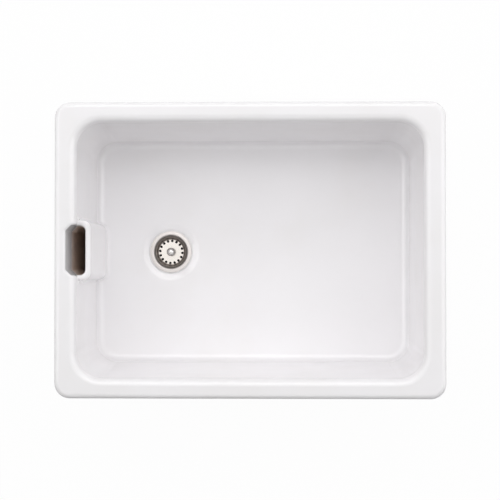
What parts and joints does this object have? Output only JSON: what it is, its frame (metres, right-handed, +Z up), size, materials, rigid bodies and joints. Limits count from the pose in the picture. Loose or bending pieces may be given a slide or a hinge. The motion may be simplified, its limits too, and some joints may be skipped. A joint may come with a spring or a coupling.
{
  "type": "farmhouse apron front sink",
  "caption": "Deep glazed fireclay kitchen sink with a plain apron front, a weir overflow in the end wall and a lift-out basket strainer waste.",
  "frame": {"origin": "centre of the flat underside of the basin, which stands on the cabinet", "axes": "+X along the apron, away from the overflow; +Y to the back of the sink; +Z up"},
  "size_m": [0.5998, 0.4548, 0.3],
  "materials": {
    "fireclay": "gloss white glaze, bare buff fireclay underneath",
    "stainless": "bright pressed stainless steel",
    "chrome": "polished",
    "brass": "as cast and turned",
    "rubber": "matt black",
    "nylon": "natural white"
  },
  "bodies": {
    "sink": {"sink_basin": "fireclay", "flange_seal": "rubber", "waste_flange": "stainless", "cup_gasket": "rubber", "slotted_tail": "brass", "centre_screw": "stainless", "screw_washer": "stainless", "bottom_seal": "rubber", "slip_washer": "nylon", "backnut": "brass"},
    "catch": {"stem_catch": "nylon"},
    "basket": {"basket_strainer": "stainless", "basket_knob": "chrome", "basket_stem": "stainless", "basket_seal": "rubber", "seal_carrier": "stainless", "spacer_sleeve": "stainless"}
  },
  "joints": [
    {"name": "basket_lift", "type": "slide", "parent": "sink", "child": "catch", "axis": [0, 0, 1], "range_m": [0, 0.04]},
    {"name": "basket_turn", "type": "hinge", "parent": "catch", "child": "basket", "pos_m": [-0.1385, 0, 0.03], "axis": [0, 0, 1], "continuous": true}
  ]
}
